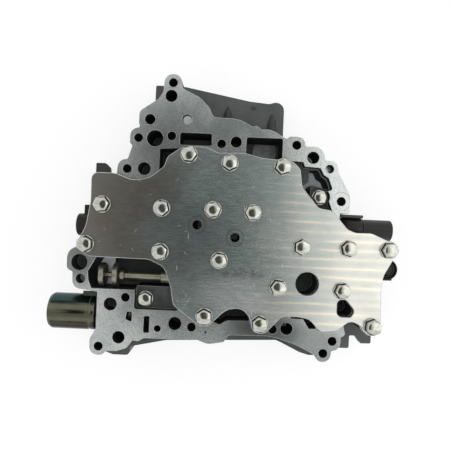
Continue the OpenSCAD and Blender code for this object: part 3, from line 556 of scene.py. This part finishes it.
def can_finish():
    """Olive plated steel with painted reflections: a dark lower flank, a dark band along the crown and a
    blue band along one side.
    """
    paint = colours()
    make = Finish("solenoid_can_steel")
    low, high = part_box("line_solenoid_can")
    middle = (low.y + high.y) / 2
    radius = (high.y - low.y) / 2
    across = make.sums("DIVIDE", make.sums("SUBTRACT", make.part("Y"), middle), radius)
    cloud = make.noise(90, 4, 0.6)
    base = make.mixed(make.ranged(cloud, 0.3, 0.7), scaled(paint.can, 0.8), paint.can)
    # Painted reflections: dark on the lower flank and along the crown, blue along the upper side
    base = make.mixed(make.ranged(across, -0.35, -0.80), base, paint.can_dark_reflection)
    crown_reflection = make.ranged(make.sums("ABSOLUTE", across, 0), 0.10, 0.30, 0.38, 0.0)
    base = make.mixed(crown_reflection, base, paint.can_dark_reflection)
    base = make.mixed(make.ranged(across, 0.50, 0.66), base, paint.can_cool_reflection)
    fine = make.noise(600, 3, 0.6, 0, make.moved(stretch=(1, 0.08, 0.08)))
    make.bump(fine, 0.012, 0.00005)
    return make.surface(base, make.ranged(cloud, 0.3, 0.7, 0.18, 0.25), 0.95)


def moulded_finish(name, colour, rough=0.5):
    """Moulded plastic with a fine spark-eroded skin."""
    make = Finish(name)
    skin = make.noise(1100, 3, 0.55)
    cloud = make.noise(70, 3, 0.5)
    base = make.mixed(make.ranged(cloud, 0.3, 0.7), scaled(colour, 0.75), colour)
    make.bump(skin, 0.12, 0.00006)
    return make.surface(base, make.ranged(skin, 0.3, 0.7, rough - 0.08, rough + 0.08), 0.0, 0.28)


def pressed_finish(name, colour, metal=0.7, rough=0.4):
    """Rolled steel with a faint grain along its length."""
    make = Finish(name)
    rolled = make.noise(500, 3, 0.6, 0, make.moved(stretch=(0.1, 1, 1)))
    cloud = make.noise(60, 4, 0.6)
    base = make.mixed(make.ranged(cloud, 0.3, 0.7), scaled(colour, 0.78), colour)
    base = make.mixed(make.ranged(rolled, 0.3, 0.7, 0.0, 0.18), base, scaled(colour, 0.6))
    make.bump(rolled, 0.06, 0.00005)
    return make.surface(base, make.ranged(rolled, 0.3, 0.7, rough - 0.06, rough + 0.06), metal)


def sheet_finish():
    """Coated sheet, near-white at its ends as painted light and near-black along its middle as painted
    shade.
    """
    paint = colours()
    make = Finish("sheet_coated")
    rolled = make.noise(500, 3, 0.6, 0, make.moved(stretch=(0.1, 1, 1)))
    across = make.part("X")
    # Painted shade along the middle, seen deep in the holes; the pale ends are painted light on the
    # window floors
    left = make.ranged(across, SHADED_MIDDLE_LEFT, SHADED_MIDDLE_LEFT - 0.004)
    right = make.ranged(across, SHADED_MIDDLE_RIGHT, SHADED_MIDDLE_RIGHT + 0.006)
    ends = make.sums("MAXIMUM", left, right)
    base = make.mixed(ends, scaled(paint.sheet, 0.015), paint.sheet)
    base = make.mixed(make.ranged(rolled, 0.3, 0.7, 0.0, 0.18), base, scaled(paint.sheet, 0.5))
    make.bump(rolled, 0.06, 0.00005)
    return make.surface(base, make.ranged(rolled, 0.3, 0.7, 0.5, 0.6), 0.0)


def select_only(*objects):
    """Leave only the given objects selected, the first of them active."""
    bpy.ops.object.select_all(action="DESELECT")
    for item in objects:
        item.select_set(True)
    bpy.context.view_layer.objects.active = objects[0]


def copy_of(node, name, merge=CLOSE_GAP):
    """A merged copy of a CAD solid's mesh as a new object."""
    piece = bpy.data.objects.new(name, frame["nodes"][node].data.copy())
    bpy.context.scene.collection.objects.link(piece)
    piece.data.materials.clear()
    select_only(piece)
    bpy.ops.object.mode_set(mode="EDIT")
    bpy.ops.mesh.select_all(action="SELECT")
    bpy.ops.mesh.remove_doubles(threshold=merge)
    bpy.ops.mesh.dissolve_limited(angle_limit=math.radians(0.5))
    bpy.ops.object.mode_set(mode="OBJECT")
    return piece


def pick_faces(piece, wanted):
    """Select the faces of a mesh that pass a test, in edit mode."""
    bpy.ops.object.mode_set(mode="OBJECT")
    for face in piece.data.polygons:
        face.select = wanted(face)
    bpy.ops.object.mode_set(mode="EDIT")


def smooth(piece):
    """Shade the curved faces of a piece smooth and its level faces flat."""
    select_only(piece)
    bpy.ops.object.shade_smooth_by_angle(angle=math.radians(SMOOTH))
    pick_faces(piece, lambda face: abs(face.normal.z) > 0.9999)
    bpy.ops.mesh.faces_shade_flat()
    bpy.ops.object.mode_set(mode="OBJECT")


def cut_edges(piece, width, slot, spared, angle=SHARP):
    """Bevel the sharp edges of a piece, apart from those near the spared spots."""
    select_only(piece)
    bpy.ops.object.mode_set(mode="EDIT")
    bpy.ops.mesh.select_all(action="DESELECT")
    bpy.ops.mesh.select_mode(type="EDGE")
    bpy.ops.mesh.edges_select_sharp(sharpness=math.radians(angle))
    bpy.ops.object.mode_set(mode="OBJECT")
    places = piece.data.vertices
    for edge in piece.data.edges:
        middle = (places[edge.vertices[0]].co + places[edge.vertices[1]].co) / 2
        if any(math.hypot(middle.x - x, middle.y - y) < reach for x, y, reach in spared):
            edge.select = False
    bpy.ops.object.mode_set(mode="EDIT")
    bpy.ops.mesh.bevel(
        offset=width, segments=1, affect="EDGES", clamp_overlap=False, loop_slide=False, material=slot)
    bpy.ops.mesh.select_mode(type="VERT")
    bpy.ops.object.mode_set(mode="OBJECT")
    smooth(piece)


def broken_edges(piece, width, steps=1, angle=SHARP, slot=-1):
    """Round the sharp edges of a piece."""
    select_only(piece)
    bevel = piece.modifiers.new("Edges", "BEVEL")
    bevel.width = width
    bevel.segments = steps
    bevel.limit_method = "ANGLE"
    bevel.angle_limit = math.radians(angle)
    bevel.use_clamp_overlap = False
    bevel.loop_slide = False
    bevel.material = slot
    bpy.ops.object.modifier_apply(modifier=bevel.name)
    smooth(piece)


def seat(piece, body, slot, *nodes):
    """Let a piece stand for its CAD nodes."""
    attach(piece, body)
    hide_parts(*nodes)


def dress(node, body, slot, finish, width, rim=None, merge=CLOSE_GAP):
    """Replace a CAD solid by a copy with broken edges."""
    piece = copy_of(node, node + "_dressed", merge)
    piece.data.materials.append(finish)
    if rim:
        piece.data.materials.append(rim)
    broken_edges(piece, width, slot=1 if rim else -1)
    seat(piece, body, slot, node)
    return piece


def paint_solid(node, finish):
    """Give a CAD solid that keeps its shape a finish."""
    solid = frame["nodes"][node]
    solid.data.materials.clear()
    solid.data.materials.append(finish)


def loose_boxes(node):
    """The boxes of the separate solids of a CAD node."""
    work = copy_of(node, node + "_parts")
    bpy.ops.object.mode_set(mode="EDIT")
    bpy.ops.mesh.select_all(action="SELECT")
    bpy.ops.mesh.separate(type="LOOSE")
    bpy.ops.object.mode_set(mode="OBJECT")
    found = []
    for item in list(bpy.context.selected_objects):
        corners = [Vector(c) for c in item.bound_box]
        low = Vector([min(c[i] for c in corners) for i in range(3)])
        high = Vector([max(c[i] for c in corners) for i in range(3)])
        found.append((low, high))
        bpy.data.objects.remove(item)
    return sorted(found, key=lambda box: (round(box[0].x, 4), round(box[0].y, 4)))


def carve(piece, tool, operation):
    """Cut a piece with another mesh, which is then removed."""
    select_only(piece)
    cut = piece.modifiers.new("Cut", "BOOLEAN")
    cut.operation = operation
    cut.object = tool
    bpy.ops.object.modifier_apply(modifier=cut.name)
    bpy.data.objects.remove(tool)


def shorten(held, finish):
    """Replace a spring by a smooth-shaded copy with its own mesh."""
    node = held["node"]
    spring = copy_of(node, node + "_dressed")
    spring.data.materials.append(finish)
    bpy.ops.object.shade_smooth_by_angle(angle=math.radians(80))
    seat(spring, ROOT, "spring_steel", node)
    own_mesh(spring)


def post(sides, radius, height, foot=0.0):
    """A cylinder that stands with its foot at a height over the origin."""
    bpy.ops.object.select_all(action="DESELECT")
    bpy.ops.mesh.primitive_cylinder_add(
        vertices=sides, radius=radius, depth=height, location=(0, 0, foot + height / 2))
    bpy.ops.object.transform_apply(location=True, rotation=True, scale=True)
    return bpy.context.object


def bolt_head():
    """A hexagon with a domed top and a chamfer round it."""
    size = sizes()
    head = post(6, size.hex_width / math.sqrt(3), size.head_height)
    bpy.ops.object.select_all(action="DESELECT")
    bpy.ops.mesh.primitive_uv_sphere_add(
        segments=72, ring_count=96, radius=size.dome_radius,
        location=(0, 0, size.head_height - size.dome_radius))
    carve(head, bpy.context.object, "INTERSECT")
    fall = size.dome_radius - math.sqrt(size.dome_radius ** 2 - (size.dome_width / 2) ** 2)
    slope = math.tan(CHAMFER)
    point = size.dome_width / 2 - fall / slope
    bpy.ops.object.select_all(action="DESELECT")
    bpy.ops.mesh.primitive_cone_add(
        vertices=72, radius1=point + (size.head_height + CUTTER_ROOM) / slope, radius2=point,
        depth=size.head_height + CUTTER_ROOM, location=(0, 0, (size.head_height - CUTTER_ROOM) / 2))
    carve(head, bpy.context.object, "INTERSECT")
    select_only(head)
    bpy.ops.object.shade_smooth_by_angle(angle=math.radians(22))
    return head


def bolt_blank(reach):
    """A domed hexagon bolt with a hollow flange and its shank, the flange's foot at the origin."""
    size = sizes()
    flange = post(56, size.flange_width / 2, size.flange_rim)
    bpy.ops.object.mode_set(mode="EDIT")
    pick_faces(flange, lambda face: face.normal.z > 0.9)
    bpy.ops.mesh.inset(thickness=FLANGE_LAND)
    bpy.ops.mesh.inset(thickness=FLANGE_SLOPE, depth=-size.flange_hollow)
    bpy.ops.object.mode_set(mode="OBJECT")
    broken_edges(flange, size.bolt_edge, 2, 40)

    head = bolt_head()
    # A slightly wider near-black hexagon at the foot of the head: painted shade in the crease
    crease = post(6, (size.hex_width + size.crease * 2) / math.sqrt(3), size.flange_rim, CREASE_LIFT)
    shank = post(32, size.shank_width / 2, reach + SHANK_SINK, -reach)
    broken_edges(shank, size.bolt_edge * 2, 1, 40)
    flange.data.materials.append(bpy.data.materials["bolt_flange_zinc"])
    for item in (head, shank):
        item.data.materials.append(bpy.data.materials["bolt_bright_zinc"])
    crease.data.materials.append(bpy.data.materials["bolt_crease_shade_zinc"])
    select_only(flange, head, crease, shank)
    bpy.ops.object.join()
    return flange


class VALVEBODY_OT_stage(bpy.types.Operator):
    """Set up the floor, the room, the lights and the camera."""

    bl_idname = "valvebody.stage"
    bl_label = "Stage"

    def execute(self, context):
        stage = context.scene.valve_body_stage
        bpy.ops.object.select_all(action="DESELECT")
        bpy.ops.mesh.primitive_plane_add(size=8)
        floor = context.object
        floor.name = "floor"
        floor.data.materials.append(floor_finish(stage.floor, stage.floor_glow))

        world = bpy.data.worlds.new("room")
        context.scene.world = world
        world.use_nodes = True
        make = Nodes(world.node_tree, "Generated")
        ends = make.sums(
            "MULTIPLY", make.ranged(make.part("Y"), 0.66, 0.82, 1, 0.1),
            make.ranged(make.part("Y"), -0.92, -0.80, 0.1, 1))
        away = make.reach((0, 0, 0), (1, 1, 0))
        ring = make.sums("MULTIPLY", make.ranged(away, 0.25, 0.32, stage.room, stage.ring), ends)
        slant = make.sums("ADD", make.part("X"), make.sums("MULTIPLY", make.part("Y"), 0.25))
        glow = make.sums("MAXIMUM", make.ranged(slant, 0.04, 0.38, stage.room, stage.box_right), ring)
        glow = make.sums("MAXIMUM", glow, make.ranged(make.part("Z"), 0.20, 0.36, 1, 0))
        background = world.node_tree.nodes["Background"]
        make.feed(background.inputs["Strength"], glow)
        make.feed(background.inputs["Color"], (1, 1, 1))

        for name, spot, aim, width, depth, power in (
            ("key_light", (0.42, -0.02, 0.50), (0.03, 0, 0.06), 0.45, 0.70, stage.key_power),
            ("fill_light", (0, 0.001, 0.75), (0, 0, 0.03), 0.25, 0.25, stage.fill_power),
        ):
            bpy.ops.object.light_add(type="AREA", location=spot)
            lamp = context.object
            lamp.name = name
            lamp.data.shape = "RECTANGLE"
            lamp.data.size = width
            lamp.data.size_y = depth
            lamp.data.energy = power
            lamp.rotation_euler = (Vector(spot) - Vector(aim)).to_track_quat("Z", "Y").to_euler()
            lamp.visible_camera = False
            lamp.visible_glossy = name == "key_light"

        bpy.ops.object.camera_add(
            location=(0, -0.002, stage.camera_height), rotation=(0, 0, stage.camera_turn))
        camera = context.object
        camera.name = "camera"
        camera.data.sensor_width = 36
        camera.data.lens = stage.camera_lens
        camera.data.clip_start = 0.01
        camera.data.dof.use_dof = False
        context.scene.camera = camera
        context.scene.view_settings.view_transform = "Standard"
        return {"FINISHED"}


class VALVEBODY_OT_castings(bpy.types.Operator):
    """Finish the upper and lower castings and the sheet between them."""

    bl_idname = "valvebody.castings"
    bl_label = "Castings"

    def execute(self, context):
        paint = colours()
        size = sizes()
        upper = casting_finish("upper_cast", paint.cast_light, paint.cast_dark, FACE_TOP)
        rim = edge_finish("casting_edge", paint.machined)
        dress("upper_body", ROOT, "machined_aluminium", upper, size.casting_edge, rim, CASTING_GAP)
        dress("lower_body", ROOT, "dark_casting", lower_finish(), size.casting_edge)
        dress("separator_plate", ROOT, "sheet_steel", sheet_finish(), THIN_EDGE)
        return {"FINISHED"}


class VALVEBODY_OT_cover_plate(bpy.types.Operator):
    """Finish the milled cover plate."""

    bl_idname = "valvebody.cover_plate"
    bl_label = "Cover plate"

    def execute(self, context):
        plate = copy_of("cover_plate", "cover_plate_dressed")
        plate.data.materials.append(plate_finish())
        plate.data.materials.append(edge_finish("plate_edge", colours().plate_edge))
        cut_edges(plate, sizes().plate_edge, 1, [(x, y, 0.005) for x, y in PLATE_HOLES])
        seat(plate, ROOT, "plate_aluminium", "cover_plate")
        return {"FINISHED"}


class VALVEBODY_OT_bolts(bpy.types.Operator):
    """Model the flange bolts of the plate and of the castings."""

    bl_idname = "valvebody.bolts"
    bl_label = "Flange bolts"

    def execute(self, context):
        size = sizes()
        zinc_finish("bolt_bright_zinc", colours().zinc)
        zinc_finish("bolt_crease_shade_zinc", colours().zinc_crease_shade)
        edge_finish("bolt_flange_zinc", colours().zinc_flange)
        for node in ("cover_bolts", "body_bolts"):
            bolts = []
            for index, (low, high) in enumerate(loose_boxes(node)):
                share = (high.x - low.x) / size.flange_width
                foot = high.z - size.head_height * share
                bolt = bolt_blank((foot - low.z) / share)
                bolt.scale = (share, share, share)
                bolt.rotation_euler = (0, 0, index * size.bolt_turn)
                bolt.location = ((low.x + high.x) / 2, (low.y + high.y) / 2, foot)
                select_only(bolt)
                bpy.ops.object.transform_apply(location=True, rotation=True, scale=True)
                bolts.append(bolt)
            select_only(*bolts)
            bpy.ops.object.join()
            group = bolts[0]
            group.name = node + "_dressed"
            bpy.ops.object.origin_set(type="ORIGIN_CURSOR")
            seat(group, ROOT, "bolt_zinc", node)
        return {"FINISHED"}


class VALVEBODY_OT_valves(bpy.types.Operator):
    """Finish the manual valve, the spools, the piston, their plugs and pins."""

    bl_idname = "valvebody.valves"
    bl_label = "Valves"

    def execute(self, context):
        paint = colours()
        edge = sizes().small_edge
        steel = turned_finish("valve_turned", paint.valve, 0.0006)
        dress("manual_valve", "manual_valve", "valve_steel", steel, edge)
        for name in ("regulator", "shift", "lockup"):
            dress(name + "_valve", name + "_valve", "valve_steel", steel, edge)
            dress(name + "_plug", ROOT, "valve_steel", steel, edge)
        piston = turned_finish("piston_turned", paint.spring, 0.0007, 0.4, axis="Z")
        dress("accumulator_piston", "accumulator_piston", "valve_steel", piston, edge)
        dress("dowel_pins", ROOT, "valve_steel", piston, edge)
        paint_solid("check_balls", piston)
        dress("plug_keys", ROOT, "sheet_steel", pressed_finish("key_rolled", paint.bracket), THIN_EDGE)
        return {"FINISHED"}


class VALVEBODY_OT_springs(bpy.types.Operator):
    """Finish the springs and the seals."""

    bl_idname = "valvebody.springs"
    bl_label = "Springs and seals"

    def execute(self, context):
        paint = colours()
        wire = turned_finish("spring_drawn", paint.spring, 0.0009)
        for joint in frame["record"]["behaviour"]["joints"]:
            for held in joint.get("deforming_nodes", ()):
                shorten(held, wire)
        rubber = moulded_finish("seal_moulded", paint.rubber, 0.55)
        paint_solid("accumulator_ring", rubber)
        paint_solid("line_solenoid_o_rings", rubber)
        return {"FINISHED"}


class VALVEBODY_OT_solenoids(bpy.types.Operator):
    """Finish the solenoids and their brackets."""

    bl_idname = "valvebody.solenoids"
    bl_label = "Solenoids"

    def execute(self, context):
        paint = colours()
        edge = sizes().small_edge
        dress("line_solenoid_can", ROOT, "can_steel", can_finish(), edge)
        nozzle = turned_finish("nozzle_turned", paint.zinc, 0.0008)
        dress("line_solenoid_nozzle", ROOT, "valve_steel", nozzle, THIN_EDGE)
        plastic = moulded_finish("solenoid_moulded", paint.plastic, 0.4)
        for node in ("left_solenoid", "right_solenoid", "upright_solenoid"):
            dress(node, ROOT, "black_plastic", plastic, edge * 2)
        steel = pressed_finish("bracket_pressed", paint.bracket)
        dress("line_solenoid_bracket", ROOT, "bracket_steel", steel, edge)
        dress("right_solenoid_bracket", ROOT, "bracket_steel", steel, edge)
        return {"FINISHED"}


class VALVEBODY_PT_panel(bpy.types.Panel):
    """Sizes, colours and steps of the valve body."""

    bl_idname = "VALVEBODY_PT_panel"
    bl_label = "Valve Body"
    bl_space_type = "VIEW_3D"
    bl_region_type = "UI"
    bl_category = "Valve Body"

    def draw(self, context):
        for step in STEPS:
            self.layout.operator(step.bl_idname)
        scene = context.scene
        for group in (scene.valve_body_sizes, scene.valve_body_colours, scene.valve_body_stage):
            box = self.layout.box()
            for name in group.__annotations__:
                box.prop(group, name)


STEPS = (
    VALVEBODY_OT_stage,
    VALVEBODY_OT_castings,
    VALVEBODY_OT_cover_plate,
    VALVEBODY_OT_bolts,
    VALVEBODY_OT_valves,
    VALVEBODY_OT_springs,
    VALVEBODY_OT_solenoids,
)
CLASSES = (ValveBodySizes, ValveBodyColours, ValveBodyStage, *STEPS, VALVEBODY_PT_panel)


def register():
    """Register the classes and their settings."""
    for item in CLASSES:
        bpy.utils.register_class(item)
    bpy.types.Scene.valve_body_sizes = PointerProperty(type=ValveBodySizes)
    bpy.types.Scene.valve_body_colours = PointerProperty(type=ValveBodyColours)
    bpy.types.Scene.valve_body_stage = PointerProperty(type=ValveBodyStage)


def unregister():
    """Remove the settings and the classes."""
    del bpy.types.Scene.valve_body_stage
    del bpy.types.Scene.valve_body_colours
    del bpy.types.Scene.valve_body_sizes
    for item in reversed(CLASSES):
        bpy.utils.unregister_class(item)


def main():
    """Run every step in order."""
    register()
    bpy.ops.valvebody.stage()
    bpy.ops.valvebody.castings()
    bpy.ops.valvebody.cover_plate()
    bpy.ops.valvebody.bolts()
    bpy.ops.valvebody.valves()
    bpy.ops.valvebody.springs()
    bpy.ops.valvebody.solenoids()


if __name__ == "__main__":
    main()
